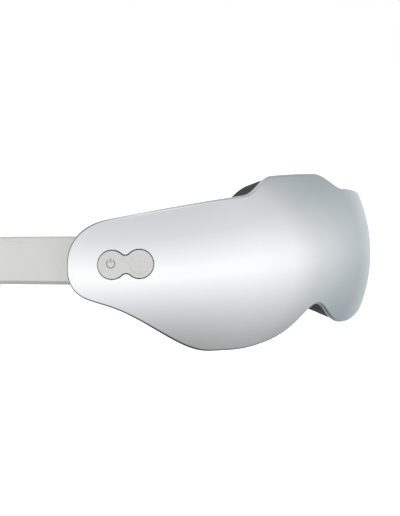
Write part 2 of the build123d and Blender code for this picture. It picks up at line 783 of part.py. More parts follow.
def hose(points, bend):
    """A hose along straight runs joined by tangent arcs."""
    with BuildPart() as made:
        with BuildLine() as route:
            FilletPolyline(*points, radius=bend)
        with BuildSketch(Plane(origin=route.line @ 0, z_dir=route.line % 0)):
            Circle(HOSE)
            Circle(PORT, mode=Mode.SUBTRACT)
        sweep()
    return made.part


manifold_left = Vector(7.0, MANIFOLD_CENTRE[1], PORT_HEIGHTS[0])
manifold_low = Vector(-7.0, MANIFOLD_CENTRE[1], PORT_HEIGHTS[1])
manifold_high = Vector(-7.0, MANIFOLD_CENTRE[1], PORT_HEIGHTS[0])
aside = Vector(1, 0, 0)
nozzle = PUMP.origin + PUMP.x_dir * (HEAD_START + HEAD[0])
pump_route = [
    nozzle + PUMP.x_dir * 0.2,
    nozzle + PUMP.x_dir * 6,
    chamber_point(-29, 21, 10),
    manifold_high - aside * 8,
    manifold_high - aside * 1.2,
]


def airbag_route(side, port):
    """Hose points from a manifold port through the tray to an airbag."""
    plane = eye_plane(side, tray_depth(EYE_ARC) - 3)
    bag = plane.origin - plane.x_dir * side * BAG_PORT[0] + Vector(0, 0, BAG_PORT[1])
    return [
        port + aside * side * 1.2,
        port + aside * side * 6,
        chamber_point(side * 20, 14, 6),
        bag + plane.z_dir * 6,
        bag - plane.z_dir * 2.4,
    ]


for name, points in (
    ("pump_hose", pump_route),
    ("right_air_hose", airbag_route(-1, manifold_low)),
    ("left_air_hose", airbag_route(1, manifold_left)),
):
    finish(name, hose(points, 2.6))

# ---- Vibration motors and their half-round weights ----
for name, side in SIDES:
    mount = skin_plane(side * SHAKER_ARC, SHAKER_HEIGHT, SHAKER_DEPTH)
    inward = Plane(origin=mount.origin, x_dir=mount.y_dir, z_dir=mount.x_dir * -side)
    with BuildPart() as vibration_motor:
        with BuildSketch(inward.offset(-6)):
            Circle(SHAKER)
        extrude(amount=11)
        with BuildSketch(inward.offset(0)):
            Circle(SHAKER_SHAFT + RUNNING_GAP)
        extrude(amount=6, mode=Mode.SUBTRACT)
    finish(f"{name}_vibration_motor", vibration_motor.part)
    with BuildPart() as vibration_weight:
        with BuildSketch(inward.offset(0.4)):
            Circle(SHAKER_SHAFT)
        extrude(amount=8.9)
        with BuildSketch(inward.offset(5.6)):
            Circle(WEIGHT)
            with Locations((0, WEIGHT)):
                Rectangle(3 * WEIGHT, 2 * WEIGHT - 1.2, mode=Mode.SUBTRACT)
            Circle(1.0)
        extrude(amount=3.5)
    finish(f"{name}_vibration_weight", vibration_weight.part)

# ---- Speaker for voice prompts ----
with BuildPart() as speaker:
    with BuildSketch(SPEAK.offset(-6.6)):
        Circle(SPEAKER_RADIUS)
    extrude(amount=3.2)
    with BuildSketch(SPEAK.offset(-6.6)):
        Circle(SPEAKER_RADIUS - 1.2)
        Circle(2.6, mode=Mode.SUBTRACT)
    extrude(amount=0.6, mode=Mode.SUBTRACT)
finish("speaker", speaker.part)

# ---- Screws that hold the housing to the shell ----
with BuildPart() as housing_screws:
    for plane, deep in SCREW_PLANES:
        with BuildSketch(plane.offset(-deep + SCREW_RECESS + SCREW_HEAD[1] / 2)):
            Circle(SCREW - HAIR)
        extrude(amount=SCREW_LONG)
        with BuildSketch(plane.offset(-deep + SCREW_RECESS)):
            Circle(SCREW_HEAD[0])
        extrude(amount=SCREW_HEAD[1] - HAIR)
        with BuildSketch(plane.offset(-deep + SCREW_RECESS)):
            RegularPolygon(SCREW_SOCKET, 6)
        extrude(amount=SCREW_HEAD[1] / 2, mode=Mode.SUBTRACT)
finish("housing_screws", housing_screws.part)

# ---- Strap ends and their hinge pins ----
for name, side in SIDES:
    with BuildPart() as strap_end:
        with BuildSketch(pivot_plane(side, -END_PLATE / 2)):
            Circle(PIVOT_DISC)
            with Locations((END_LONG / 2, 0)):
                Rectangle(END_LONG, 2 * PIVOT_DISC)
            with Locations((END_LONG - 1.5, 0)):
                RectangleRounded(3.0, STRAP_TALL - 0.6, 1.0)
        extrude(amount=END_PLATE)
        with BuildSketch(pivot_plane(side, -END_PLATE)):
            Circle(PIVOT_PIN + RUNNING_GAP)
        extrude(amount=2 * END_PLATE, mode=Mode.SUBTRACT)
    finish(f"{name}_strap_end", strap_end.part)
    with BuildPart() as strap_pin:
        with BuildSketch(pivot_plane(side, -END_PLATE / 2 - 0.3 - 1.2)):
            Circle(PIVOT_HEAD)
        extrude(amount=1.2)
        with BuildSketch(pivot_plane(side, -END_PLATE / 2 - 0.3)):
            Circle(PIVOT_PIN - 0.01)
        extrude(amount=END_PLATE + 0.6 + PIVOT_DEEP - 0.2)
    finish(f"{name}_strap_pin", strap_pin.part)

# ---- Strap: two bands, the adjuster ring and the fold-back tail with its hook-and-loop patches ----
SIDE_RUN = strap_straight() + [strap_curve(k / 16) for k in range(1, 12)]
BACK_SIDE = 54.0         # where the side stretches of the loop hand over to its back
left_stop = RING_SIDE + RING_WIDE + RING_WIRE / 2 + LAYER_GAP
right_stop = RING_SIDE - RING_WIRE / 2 - LAYER_GAP
side_run = [at for at in SIDE_RUN if at[0] > BACK_SIDE + 3]
left_sections = side_run + rear_run(BACK_SIDE, left_stop)
right_sections = rear_run(right_stop, -BACK_SIDE) + [mirrored(at) for at in reversed(side_run)]
for name, sections in (("left", left_sections), ("right", right_sections)):
    finish(f"{name}_strap_band", strap_run(sections, STRAP_TALL, STRAP_THICK))

loop_out = STRAP_THICK / 2 + 0.05 + PATCH_THICK / 2
hook_out = loop_out + PATCH_THICK + LAYER_GAP
tail_out = hook_out + PATCH_THICK / 2 + 0.05 + TAIL_THICK / 2
TAIL_START = RING_SIDE - 3.5
loop_run = rear_run(TAIL_START - 6, TAIL_END - 12)
hook_run = rear_run(TAIL_START - 10, TAIL_END + 2)
tail_run = rear_run(TAIL_START, TAIL_END)
finish("loop_patch", strap_run(loop_run, PATCH_TALL, PATCH_THICK, loop_out))
finish("hook_patch", strap_run(hook_run, PATCH_TALL - 1, PATCH_THICK, hook_out))
finish("strap_tail", strap_run(tail_run, STRAP_TALL - 0.6, TAIL_THICK, tail_out))

ring_middle = rear(RING_SIDE + RING_WIDE / 2)
ring_plane = Plane(
    origin=(ring_middle[0], ring_middle[1] + 1.2, ring_middle[3]),
    x_dir=(sin(ring_middle[2]), cos(ring_middle[2]), 0),
    z_dir=(cos(ring_middle[2]), -sin(ring_middle[2]), 0),
)
with BuildPart() as strap_ring:
    with BuildSketch(ring_plane.offset(-RING_WIRE / 2)):
        RectangleRounded(RING_WIDE + RING_WIRE, STRAP_TALL + 2.4 + RING_WIRE, 1.6)
        RectangleRounded(RING_WIDE - RING_WIRE, STRAP_TALL + 2.4 - RING_WIRE, 0.6, mode=Mode.SUBTRACT)
    extrude(amount=RING_WIRE)
finish("strap_ring", strap_ring.part)
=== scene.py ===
"""Looks of the eye massager mask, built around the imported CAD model.

Shapes are worked out in millimetres from the same driving dimensions as the CAD, and scaled
by MM into metres. +Z is up, the wearer looks along -Y, and the wearer's left is +X.
"""
from functools import lru_cache
from math import asin, atan2, cos, cosh, hypot, pi, radians, sin, sqrt

import bmesh
import bpy
from mathutils import Matrix, Vector
from mathutils.bvhtree import BVHTree


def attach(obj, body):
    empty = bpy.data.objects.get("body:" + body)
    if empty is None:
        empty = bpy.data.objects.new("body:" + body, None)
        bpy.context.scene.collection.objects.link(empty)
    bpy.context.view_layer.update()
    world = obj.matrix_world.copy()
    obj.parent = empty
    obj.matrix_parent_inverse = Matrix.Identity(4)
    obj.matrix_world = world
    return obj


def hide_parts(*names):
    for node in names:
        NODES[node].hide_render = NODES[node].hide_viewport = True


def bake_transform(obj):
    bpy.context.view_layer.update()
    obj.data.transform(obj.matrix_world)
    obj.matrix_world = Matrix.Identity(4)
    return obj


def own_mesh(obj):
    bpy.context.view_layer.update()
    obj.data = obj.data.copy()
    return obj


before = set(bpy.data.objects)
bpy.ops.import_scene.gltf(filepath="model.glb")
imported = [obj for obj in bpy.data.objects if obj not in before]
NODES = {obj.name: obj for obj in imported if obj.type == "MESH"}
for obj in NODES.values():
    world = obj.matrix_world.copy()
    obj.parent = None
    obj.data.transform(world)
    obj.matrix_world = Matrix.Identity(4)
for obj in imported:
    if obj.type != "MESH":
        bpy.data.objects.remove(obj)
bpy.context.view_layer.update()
MM = 0.001

# ---- Driving dimensions, shared with the CAD ----
SEAT_DEPTH = 26.0
HALF_ARC = 122.0
FRONT_TURN = 35.2
TEMPLE_TURN = 36.5
SKIN_RADIUS = 76.7
SKIN_MIDDLE = -5.1
BROW_HEIGHT = 29.2
BROW_FALL = 8.1
BROW_FALL_ARC = 105.0
CREST_RISE = 6.6
CREST_START = 18.0
CREST_END = 40.0
CHEEK_LOW = -36.4
NOTCH_RISE = 14.9
NOTCH_WIDTH = 11.3
CHEEK_RISE = 1.8
WING_RISE = 23.0
END_ARC = 18.0
END_POWER = 2.5
SHELL = 2.0
EYE_ARC = 36.0
EYE_HEIGHT = -1.5
EYE_OPENING = (50.0, 38.0)
EYE_CORNER = 15.0
PAD = (46.0, 34.0)
KEY_ARC = -97.6
KEY_HEIGHT = 3.6
KEY_LOBE = 5.4
KEY_SPAN = 10.8
KEY_WAIST = 3.3
KEY_PROUD = 1.3
KEY_UNDER = 1.4
KEY_GAP = 0.35
STRAP_TALL = 20.3
STRAP_THICK = 2.2
STRAP_HEIGHT = 3.2
STRAP_FLARE = 24.0
STRAP_BEND = 20.0
STRAP_STRAIGHT = 50.0
STRAP_REAR = 142.0
STRAP_SAG = 10.4
STRAP_HANDLES = (30.0, 62.0)
PIVOT_BACK = 23.0
PIVOT_SIDE = 85.4
END_LONG = 11.0
RING_SIDE = 16.0
RING_WIDE = 7.0
TAIL_START = 12.5
TAIL_END = -42.0
TAIL_OUT = 3.7           # middle of the tail outside the band's middle
TAIL_THICK = 1.6


def blend(value, start, end):
    """0 before start, 1 after end, smooth between."""
    x = min(max((value - start) / (end - start), 0.0), 1.0)
    return x * x * (3 - 2 * x)


def turn(arc):
    """Heading of the plan curve, in radians."""
    u = arc / HALF_ARC
    return radians(FRONT_TURN * u + TEMPLE_TURN * u**3)


@lru_cache(maxsize=None)
def plan_point(arc):
    """Plan position of the skin's frontmost line, by Simpson's rule along the curve."""
    steps = 40
    step = arc / steps
    x = y = 0.0
    for k in range(steps + 1):
        weight = 1 if k in (0, steps) else (4 if k % 2 else 2)
        x += weight * cos(turn(k * step)) * step / 3
        y += weight * sin(turn(k * step)) * step / 3
    return x, y - SEAT_DEPTH


def bulge(height, depth=0.0):
    """Distance of a layer behind the frontmost line; deep layers are flatter."""
    radius = SKIN_RADIUS - min(depth, 3.0) + 3.2 * max(depth - 3.0, 0.0)
    return depth + radius - sqrt(radius**2 - (height - SKIN_MIDDLE) ** 2)


def inner_point(arc, height, depth):
    """A point on a layer of the mask, depth below the skin."""
    x, y = plan_point(arc)
    a = turn(arc)
    b = bulge(height, depth)
    return Vector((x - sin(a) * b, y + cos(a) * b, height))


def skin_normal(arc, height):
    """Outward direction of the skin."""
    a = turn(arc)
    tilt = asin((height - SKIN_MIDDLE) / SKIN_RADIUS)
    return Vector((sin(a) * cos(tilt), -cos(a) * cos(tilt), sin(tilt)))


def outline(arc):
    """Lowest and highest height of the skin, before the rounded temple ends."""
    a = abs(arc)
    high = BROW_HEIGHT - BROW_FALL * (a / BROW_FALL_ARC) ** 2
    high += CREST_RISE * (1 - blend(a, CREST_START, CREST_END))
    low = CHEEK_LOW + NOTCH_RISE / cosh(a / NOTCH_WIDTH)
    low += CHEEK_RISE * blend(a, CREST_END, 66) + WING_RISE * blend(a, 60, 113)
    return low, high


# ---- Mesh helpers ----
def new_piece(name, points, faces, material, smooth=True):
    """A mesh object from points in millimetres, with its faces turned outwards."""
    mesh = bpy.data.meshes.new(name)
    mesh.from_pydata([Vector(p) * MM for p in points], [], faces)
    work = bmesh.new()
    work.from_mesh(mesh)
    bmesh.ops.recalc_face_normals(work, faces=work.faces)
    work.to_mesh(mesh)
    work.free()
    for face in mesh.polygons:
        face.use_smooth = smooth
    mesh.materials.append(material)
    piece = bpy.data.objects.new(name, mesh)
    bpy.context.scene.collection.objects.link(piece)
    return piece


def settle(piece, body, slot, *nodes):
    """Says what a piece rides on and which CAD nodes it stands for; slot, the name of its finish, is not
    used.
    """
    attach(piece, body)
    if nodes:
        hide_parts(*nodes)
    return piece


def ring_faces(first, second):
    """Quads between two closed rings of vertex numbers."""
    n = len(first)
    return [(first[k], first[(k + 1) % n], second[(k + 1) % n], second[k]) for k in range(n)]


def sweep_faces(rings, sides):
    """Quads of a tube whose rings follow each other in the vertex list, with both ends closed."""
    faces = []
    for r in range(rings - 1):
        a = list(range(r * sides, (r + 1) * sides))
        faces += ring_faces(a, [k + sides for k in a])
    faces.append(tuple(range(sides)))
    faces.append(tuple(range((rings - 1) * sides, rings * sides)))
    return faces


def tube(name, path, radius, material, sides=8, closed=False):
    """A round cord of small radius along points in millimetres."""
    points = []
    count = len(path)
    for k, at in enumerate(path):
        before = path[(k - 1) % count] if closed or k else at
        after = path[(k + 1) % count] if closed or k < count - 1 else at
        way = (after - before).normalized()
        side = way.cross(Vector((0.02, 0.03, 1))).normalized()
        up = side.cross(way)
        for s in range(sides):
            angle = 2 * pi * s / sides
            points.append(at + side * cos(angle) * radius + up * sin(angle) * radius)
    if not closed:
        return new_piece(name, points, sweep_faces(count, sides), material)
    faces = []
    for k in range(count):
        first = [k * sides + s for s in range(sides)]
        second = [(k + 1) % count * sides + s for s in range(sides)]
        faces += ring_faces(first, second)
    return new_piece(name, points, faces, material)


# ---- Materials ----
def shader_of(name, color, rough, metal=0.0, **sockets):
    """A new material and its tree and shader, with even values set on the shader itself."""
    made = bpy.data.materials.new(name)
    made.use_nodes = True
    tree = made.node_tree
    shader = tree.nodes["Principled BSDF"]
    shader.inputs["Base Color"].default_value = (*color, 1)
    shader.inputs["Roughness"].default_value = rough
    shader.inputs["Metallic"].default_value = metal
    for socket, value in sockets.items():
        shader.inputs[socket.replace("_", " ")].default_value = value
    return made, tree, shader


def coordinates(tree, kind, scale):
    """Coordinates of a kind, stretched by a scale."""
    source = tree.nodes.new("ShaderNodeTexCoord")
    stretch = tree.nodes.new("ShaderNodeMapping")
    stretch.inputs["Scale"].default_value = scale
    tree.links.new(source.outputs[kind], stretch.inputs["Vector"])
    return stretch.outputs["Vector"]


def noise(tree, scale, detail=3.0, where=None):
    """A noise value over the object."""
    node = tree.nodes.new("ShaderNodeTexNoise")
    node.inputs["Scale"].default_value = scale
    node.inputs["Detail"].default_value = detail
    tree.links.new(where or coordinates(tree, "Object", (1, 1, 1)), node.inputs["Vector"])
    return node.outputs["Fac"]


def between(tree, value, stops):
    """Colours between stops of (place, colour)."""
    ramp = tree.nodes.new("ShaderNodeValToRGB")
    line = ramp.color_ramp
    while len(line.elements) < len(stops):
        line.elements.new(0.5)
    for element, (place, color) in zip(line.elements, stops):
        element.position = place
        element.color = (*color, 1)
    tree.links.new(value, ramp.inputs["Fac"])
    return ramp.outputs["Color"]


def bump(tree, shader, value, strength, distance, under=None):
    """Bump from a value, on top of another bump."""
    node = tree.nodes.new("ShaderNodeBump")
    node.inputs["Strength"].default_value = strength
    node.inputs["Distance"].default_value = distance
    tree.links.new(value, node.inputs["Height"])
    if under:
        tree.links.new(under, node.inputs["Normal"])
    tree.links.new(node.outputs["Normal"], shader.inputs["Normal"])
    return node.outputs["Normal"]


def shade(color, factor):
    """A darker or lighter version of a colour."""
    return tuple(min(1.0, c * factor) for c in color)


def plastic(name, color, rough=0.45, grain=2200, spread=0.06, depth=0.00004, **sockets):
    """Moulded plastic: fine grain, with a little uneven gloss and colour."""
    made, tree, shader = shader_of(name, color, rough, **sockets)
    tones = [(0.3, shade(color, 1 - spread)), (0.7, shade(color, 1 + spread))]
    tone = between(tree, noise(tree, 90), tones)
    tree.links.new(tone, shader.inputs["Base Color"])
    gloss = between(tree, noise(tree, 160), [(0.3, (rough * 0.85,) * 3), (0.7, (rough * 1.15,) * 3)])
    tree.links.new(gloss, shader.inputs["Roughness"])
    bump(tree, shader, noise(tree, grain, 2), 0.35, depth)
    return made


def metal(name, color, rough=0.28, stretch=(1, 1, 14)):
    """Satin metal with fine brush lines."""
    made, tree, shader = shader_of(name, color, rough, 1.0)
    lines = noise(tree, 900, 2, coordinates(tree, "Object", stretch))
    gloss = between(tree, lines, [(0.25, (rough * 0.7,) * 3), (0.75, (rough * 1.3,) * 3)])
    tree.links.new(gloss, shader.inputs["Roughness"])
    tone = between(tree, noise(tree, 120), [(0.3, shade(color, 0.9)), (0.7, shade(color, 1.06))])
    tree.links.new(tone, shader.inputs["Base Color"])
    bump(tree, shader, lines, 0.1, 0.00002)
    return made


def mirror_skin():
    """Metallised mirror lacquer: near-perfect gloss, the faintest haze and orange peel."""
    made, tree, shader = shader_of("mirror_skin", (0.93, 0.94, 0.945), 0.045, 1.0)
    haze = between(tree, noise(tree, 38, 4), [(0.35, (0.035,) * 3), (0.75, (0.07,) * 3)])
    tree.links.new(haze, shader.inputs["Roughness"])
    tone = between(tree, noise(tree, 22, 3), [(0.3, (0.925, 0.935, 0.94)), (0.7, (0.945, 0.95, 0.955))])
    tree.links.new(tone, shader.inputs["Base Color"])
    bump(tree, shader, noise(tree, 130, 1), 0.02, 0.00002)
    return made


def leather():
    """Soft charcoal protein leather: cells with creases, over slow colour change."""
    made, tree, shader = shader_of("cushion_leather", (0.035, 0.037, 0.041), 0.55, Sheen_Weight=0.15)
    cells = tree.nodes.new("ShaderNodeTexVoronoi")
    cells.feature = "DISTANCE_TO_EDGE"
    cells.inputs["Scale"].default_value = 900
    tree.links.new(coordinates(tree, "Object", (1, 1, 1)), cells.inputs["Vector"])
    creases = between(tree, cells.outputs["Distance"], [(0.0, (0, 0, 0)), (0.12, (1, 1, 1))])
    tone = between(tree, noise(tree, 60, 4), [(0.3, (0.026, 0.028, 0.031)), (0.7, (0.046, 0.048, 0.053))])
    tree.links.new(tone, shader.inputs["Base Color"])
    gloss = between(tree, noise(tree, 200), [(0.3, (0.45,) * 3), (0.7, (0.66,) * 3)])
    tree.links.new(gloss, shader.inputs["Roughness"])
    under = bump(tree, shader, noise(tree, 150, 3), 0.25, 0.0003)
    bump(tree, shader, creases, 0.4, 0.00008, under)
    return made


def woven(name, color, pitch, kind, rough=0.85, spread=0.1, depth=0.00006, sheen=0.4):
    """Fabric of fine crossing threads with a faint mottle; pitch is the thread spacing in metres."""
    made, tree, shader = shader_of(name, color, rough, Sheen_Weight=sheen, Sheen_Roughness=0.5)
    unit = 1.0 if kind == "Object" else MM
    heights = []
    for axis in (("X", "Z") if kind == "Object" else ("X", "Y")):
        wave = tree.nodes.new("ShaderNodeTexWave")
        wave.bands_direction = axis
        wave.inputs["Scale"].default_value = 0.314 / pitch * unit
        wave.inputs["Distortion"].default_value = 0.6
        wave.inputs["Detail"].default_value = 1
        tree.links.new(coordinates(tree, kind, (1, 1, 1)), wave.inputs["Vector"])
        heights.append(wave.outputs["Fac"])
    cross = tree.nodes.new("ShaderNodeMath")
    cross.operation = "MULTIPLY"
    tree.links.new(heights[0], cross.inputs[0])
    tree.links.new(heights[1], cross.inputs[1])
    mottle = between(
        tree, noise(tree, 45, 5), [(0.3, shade(color, 1 - spread)), (0.7, shade(color, 1 + spread / 2))]
    )
    threads = tree.nodes.new("ShaderNodeMix")
    threads.data_type = "RGBA"
    threads.blend_type = "MULTIPLY"
    threads.inputs["Factor"].default_value = 0.22
    tree.links.new(mottle, threads.inputs["A"])
    gaps = between(tree, cross.outputs[0], [(0, (0.6,) * 3), (0.5, (1, 1, 1))])
    tree.links.new(gaps, threads.inputs["B"])
    tree.links.new(threads.outputs["Result"], shader.inputs["Base Color"])
    under = bump(tree, shader, noise(tree, 700, 3), 0.25, depth)
    bump(tree, shader, cross.outputs[0], 0.5, depth, under)
    return made


def darken_edges_with_painted_shade(made):
    """Webbing a little darker along its upper sewn edge and much darker along the lower one: painted shade
    where that edge curves under.
    """
    tree = made.node_tree
    shader = tree.nodes["Principled BSDF"]
    across = tree.nodes.new("ShaderNodeSeparateXYZ")
    tree.links.new(coordinates(tree, "UV", (1, 1 / STRAP_TALL, 1)), across.inputs["Vector"])
    place = tree.nodes.new("ShaderNodeMath")
    place.operation = "ADD"
    place.inputs[1].default_value = 0.5
    tree.links.new(across.outputs["Y"], place.inputs[0])
    # The dark stops at the bottom paint shade along the lower edge; the faint stop at the top darkens the
    # upper edge a little.
    edges = between(tree, place.outputs[0], [
        (0.0, (0.52, 0.52, 0.53)), (0.07, (0.62, 0.62, 0.63)), (0.095, (1, 1, 1)),
        (0.93, (1, 1, 1)), (0.96, (0.95, 0.95, 0.95)),
    ])
    darker = tree.nodes.new("ShaderNodeMix")
    darker.data_type = "RGBA"
    darker.blend_type = "MULTIPLY"
    darker.inputs["Factor"].default_value = 1.0
    tree.links.new(shader.inputs["Base Color"].links[0].from_socket, darker.inputs["A"])
    tree.links.new(edges, darker.inputs["B"])
    tree.links.new(darker.outputs["Result"], shader.inputs["Base Color"])
    return made


def board_green():
    """Solder mask over copper tracks, with bare pads."""
    made, tree, shader = shader_of("circuit_green", (0.015, 0.12, 0.05), 0.35, Coat_Weight=0.3)
    tracks = tree.nodes.new("ShaderNodeTexBrick")
    tracks.inputs["Scale"].default_value = 260
    tracks.inputs["Color1"].default_value = (0.012, 0.1, 0.042, 1)
    tracks.inputs["Color2"].default_value = (0.016, 0.13, 0.055, 1)
    tracks.inputs["Mortar"].default_value = (0.03, 0.22, 0.1, 1)
    tracks.inputs["Mortar Size"].default_value = 0.03
    tree.links.new(coordinates(tree, "Object", (1, 1, 1)), tracks.inputs["Vector"])
    tree.links.new(tracks.outputs["Color"], shader.inputs["Base Color"])
    bump(tree, shader, tracks.outputs["Fac"], 0.3, 0.00003)
    return made


MIRROR = mirror_skin()
DARK = plastic("dark_plastic", (0.010, 0.011, 0.013), 0.55, Specular_IOR_Level=0.3)
KEYS = plastic("key_plastic", (0.455, 0.447, 0.442), 0.42, grain=3200, spread=0.02, depth=0.00001)
MARK = plastic("key_mark", (0.20, 0.20, 0.19), 0.5, spread=0.03)
LEATHER = leather()
PIPING = plastic("cushion_piping", (0.022, 0.023, 0.026), 0.5, grain=4000)
PADDING = woven("pad_knit", (0.10, 0.105, 0.115), 0.0009, "Object")
BLADDER = plastic("airbag_film", (0.42, 0.43, 0.45), 0.3, grain=300, Coat_Weight=0.3)
WARMER = plastic("heating_film", (0.50, 0.20, 0.03), 0.3, spread=0.15)
FOAM = plastic("seal_foam", (0.025, 0.025, 0.027), 0.9, grain=2600, depth=0.0002)
BOARD = board_green()
CHIPS = plastic("chip_black", (0.018, 0.018, 0.02), 0.4)
STEEL = metal("satin_steel", (0.60, 0.60, 0.60))
BRASS = metal("turned_brass", (0.70, 0.50, 0.22))
FOIL = metal("pouch_foil", (0.70, 0.71, 0.73), 0.35, (1, 1, 1))
HOSES = plastic("clear_hose", (0.70, 0.71, 0.70), 0.25, Transmission_Weight=0.4)
NYLON = plastic("white_nylon", (0.66, 0.66, 0.63), 0.5)
# Strap webbing, with painted shade along its lower edge.
WEBBING = darken_edges_with_painted_shade(woven("strap_webbing", (0.49, 0.49, 0.475), 0.0007, "UV", spread=0.05))
THREAD = woven("strap_thread", (0.60, 0.60, 0.58), 0.0004, "Object", sheen=0.2)
FITTING = plastic("strap_plastic", (0.60, 0.60, 0.58), 0.4, spread=0.03)
HOOKS = woven("hook_tape", (0.50, 0.50, 0.485), 0.0011, "Object", depth=0.0004)
LOOPS = woven("loop_tape", (0.58, 0.58, 0.565), 0.0016, "Object", depth=0.0003, sheen=0.8)

NODES_OF = [
    (DARK, ("rear_housing", "key_frame",)),
    (FOAM, ("housing_seal",)),
    (STEEL, (
        "key_pivot_pin", "power_switch", "mode_switch", "charge_socket", "board_screws",
        "pump_motor", "valve_plunger", "valve_spring", "right_vibration_motor",
        "left_vibration_motor", "housing_screws", "right_strap_pin", "left_strap_pin",
    )),
    (BOARD, ("key_board", "main_board",)),
    (CHIPS, ("board_chips", "speaker",)),
    (FOIL, ("battery",)),
    (NYLON, ("pump_head", "air_manifold", "valve_body",)),
    (BRASS, ("pump_crank", "right_vibration_weight", "left_vibration_weight",)),
    (HOSES, ("pump_hose", "right_air_hose", "left_air_hose",)),
    (WARMER, ("right_heating_film", "left_heating_film",)),
    (FITTING, ("right_strap_end", "left_strap_end", "strap_ring",)),
    (LOOPS, ("loop_patch",)),
    (HOOKS, ("hook_patch",)),
]
for material, names in NODES_OF:
    for node in names:
        data = NODES[node].data
        if data.materials:
            for k in range(len(data.materials)):
                data.materials[k] = material
        else:
            data.materials.append(material)


# ---- Key outline ----
def key_radius(angle, grow=0.0):
    """Distance from the key's middle to its two-lobed outline in a direction."""
    c = KEY_SPAN / 2
    r = KEY_LOBE + grow
    neck = (c**2 + KEY_WAIST**2 - KEY_LOBE**2) / (2 * (KEY_LOBE - KEY_WAIST)) - grow
    h = KEY_WAIST + grow + neck
    tx = c * neck / (r + neck)
    ux, uy = abs(cos(angle)), abs(sin(angle))
    low, high = 1.0, 14.0
    for _ in range(30):
        middle = (low + high) / 2
        x, y = ux * middle, uy * middle
        inside = hypot(x - c, y) < r if x > tx else y < h - sqrt(neck**2 - x**2)
        if inside:
            low = middle
        else:
            high = middle
    return low


# ---- Mirror shell: front and back sheets with a key opening, a rounded rim and a rolled opening edge ----
EDGE = 1.0               # rim radius
ROWS = 40
HOLE_REACH = (14.5, 8.6)
HOLE_RINGS = 6
ROLL = 0.25


def shell_columns():
    """Arc length and share of the end rounding of each column, temple to temple."""
    start = HALF_ARC - END_ARC
    half = [(a, 1.0) for a in range(0, int(start), 2)]
    for k in range(0, 23):
        angle = radians(4 * k)
        half.append((start + END_ARC * sin(angle) ** (2 / END_POWER), cos(angle) ** (2 / END_POWER)))
    near_key = [(a / 4, 1.0) for a in range(-4 * 103, -4 * 80, 3)]
    left = [(-a, share) for a, share in reversed(half[1:]) if not -103.6 <= -a <= -79.5]
    return sorted(left + near_key) + half


COLUMNS = shell_columns()


def edge_point(k, top):
    """Outline point of a column, as arc length and height."""
    arc, share = COLUMNS[k]
    low, high = outline(arc)
    half = (high - low) / 2 * share
    return Vector((arc, (low + high) / 2 + (half if top else -half)))


def edge_out(k, top):
    """Direction out of the outline at a column."""
    last = len(COLUMNS) - 1
    before = edge_point(k - 1, top) if k else edge_point(0, not top)
    after = edge_point(k + 1, top) if k < last else edge_point(last, not top)
    way = (after - before).normalized()
    return Vector((-way.y, way.x)) if top else Vector((way.y, -way.x))


EDGE_OUT = {(k, top): edge_out(k, top) for k in range(len(COLUMNS)) for top in (False, True)}


def rim_point(k, top, inset, depth):
    """A point of the rim, inset from the outline."""
    at = edge_point(k, top) - EDGE_OUT[k, top] * inset
    return inner_point(at.x, at.y, depth)


def shell_sheet(points, depth, inset):
    """Adds one side of the shell to points.

    Gives its faces, its outer loop, its opening's loop and the directions of the opening's points.
    """
    grid = {}
    hole = set()
    columns = range(len(COLUMNS))
    places = {}
    for k in columns:
        low = edge_point(k, False) - EDGE_OUT[k, False] * inset
        high = edge_point(k, True) - EDGE_OUT[k, True] * inset
        for row in range(ROWS + 1):
            places[k, row] = low.lerp(high, row / ROWS)
    for (k, row), at in places.items():
        if abs(at.x - KEY_ARC) < HOLE_REACH[0] and abs(at.y - KEY_HEIGHT) < HOLE_REACH[1]:
            hole.add((k, row))
    k0, k1 = min(k for k, _ in hole), max(k for k, _ in hole)
    r0, r1 = min(r for _, r in hole), max(r for _, r in hole)
    for (k, row), at in places.items():
        if not (k0 < k < k1 and r0 < row < r1):
            grid[k, row] = len(points)
            points.append(inner_point(at.x, at.y, depth))
    faces = []
    for k in columns[:-1]:
        for row in range(ROWS):
            if not (k0 <= k < k1 and r0 <= row < r1):
                faces.append((grid[k, row], grid[k + 1, row], grid[k + 1, row + 1], grid[k, row + 1]))
    outer = [grid[k, 0] for k in columns] + [grid[len(COLUMNS) - 1, r] for r in range(1, ROWS)]
    outer += [grid[k, ROWS] for k in reversed(columns)] + [grid[0, r] for r in range(ROWS - 1, 0, -1)]
    frame_loop = [(k, r0) for k in range(k0, k1)] + [(k1, r) for r in range(r0, r1)]
    frame_loop += [(k, r1) for k in range(k1, k0, -1)] + [(k0, r) for r in range(r1, r0, -1)]
    ring = [grid[at] for at in frame_loop]
    offsets = [places[at] - Vector((KEY_ARC, KEY_HEIGHT)) for at in frame_loop]
    angles = [atan2(at.y, at.x) for at in offsets]
    for step in range(1, HOLE_RINGS + 1):
        share = step / HOLE_RINGS
        inner = []
        for angle, at in zip(angles, offsets):
            reach = key_radius(angle, KEY_GAP + ROLL)
            edge = Vector((cos(angle), sin(angle))) * reach
            spot = at.lerp(edge, share)
            inner.append(len(points))
            points.append(inner_point(KEY_ARC + spot.x, KEY_HEIGHT + spot.y, depth))
        faces += ring_faces(ring, inner)
        ring = inner
    return faces, outer, ring, angles


